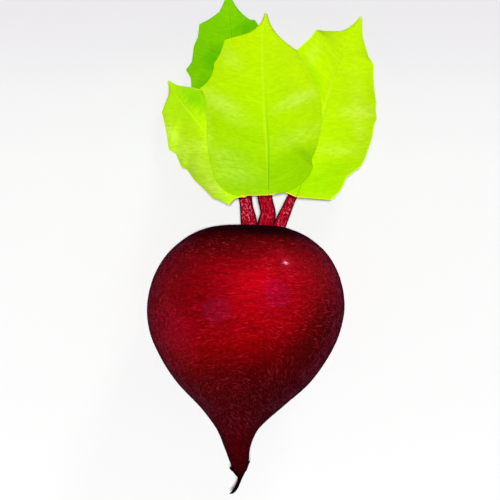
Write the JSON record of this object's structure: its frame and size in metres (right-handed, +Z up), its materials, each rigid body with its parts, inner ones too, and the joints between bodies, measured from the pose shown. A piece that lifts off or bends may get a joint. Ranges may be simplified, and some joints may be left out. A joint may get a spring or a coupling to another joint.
{
  "type": "beetroot",
  "caption": "Beetroot as picked, lying on its side: a round red root with a thin hooked tail, and toothed green leaves on short red stalks.",
  "frame": {"origin": "middle of the small flat spot on the root's belly that the beetroot rests on, at the surface", "axes": "+Y along the root from its tail towards the leaves, +Z up from the surface it lies on, +X to the right seen from above with the leaves at the top"},
  "size_m": [0.0826, 0.1819, 0.0687],
  "materials": {
    "root_skin": "natural: dark crimson root skin with a faint sheen and fine rings round it",
    "stalk": "natural: crimson leaf stalk with fine lengthwise grain",
    "leaf_lime": "natural: young lime green leaf with a soft sheen and pale veins",
    "leaf_green": "natural: darker green leaf with a soft sheen"
  },
  "bodies": {
    "root": {"root": "root_skin", "stalk_left": "stalk", "stalk_middle": "stalk", "stalk_right": "stalk", "stalk_back": "stalk", "leaf_left": "leaf_lime", "leaf_middle": "leaf_lime", "leaf_right": "leaf_lime", "leaf_back": "leaf_green"}
  },
  "joints": []
}
